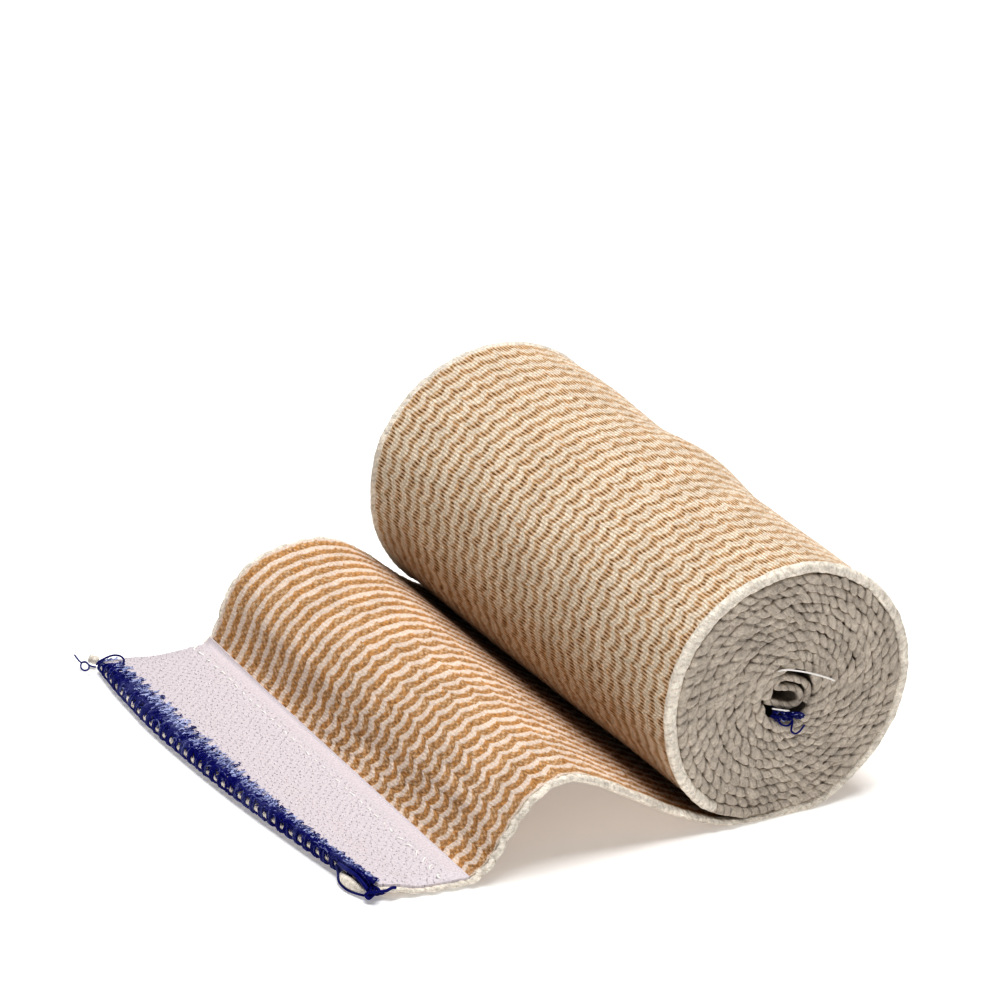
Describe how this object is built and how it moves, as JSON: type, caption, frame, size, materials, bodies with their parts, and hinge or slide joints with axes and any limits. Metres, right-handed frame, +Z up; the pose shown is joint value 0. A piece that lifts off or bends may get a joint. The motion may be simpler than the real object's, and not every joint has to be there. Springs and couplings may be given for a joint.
{
  "type": "crepe bandage roll",
  "caption": "Woven elastic crepe bandage wound into a roll on its side, its free end lying loose in a hump with a hook closure strip and overlocked edge.",
  "frame": {"origin": "middle of the whole object's footprint, on the surface it rests on", "axes": "+X from the loose end towards the roll, +Y along the roll's axis from its near end to its far end, +Z up"},
  "size_m": [0.1038, 0.1, 0.0474],
  "materials": {
    "cloth_outer_face": "matte woven crepe",
    "cloth_inner_face": "matte woven crepe",
    "cloth_edge": "matte selvedge",
    "closure_strip": "hook tape",
    "overlock_thread": "textured thread"
  },
  "bodies": {
    "root": {"roll": "cloth_outer_face", "loose_end": "cloth_inner_face", "hook_strip": "closure_strip", "edge_stitching": "overlock_thread", "core_fold": "cloth_edge", "core_stitching": "overlock_thread"}
  },
  "joints": []
}
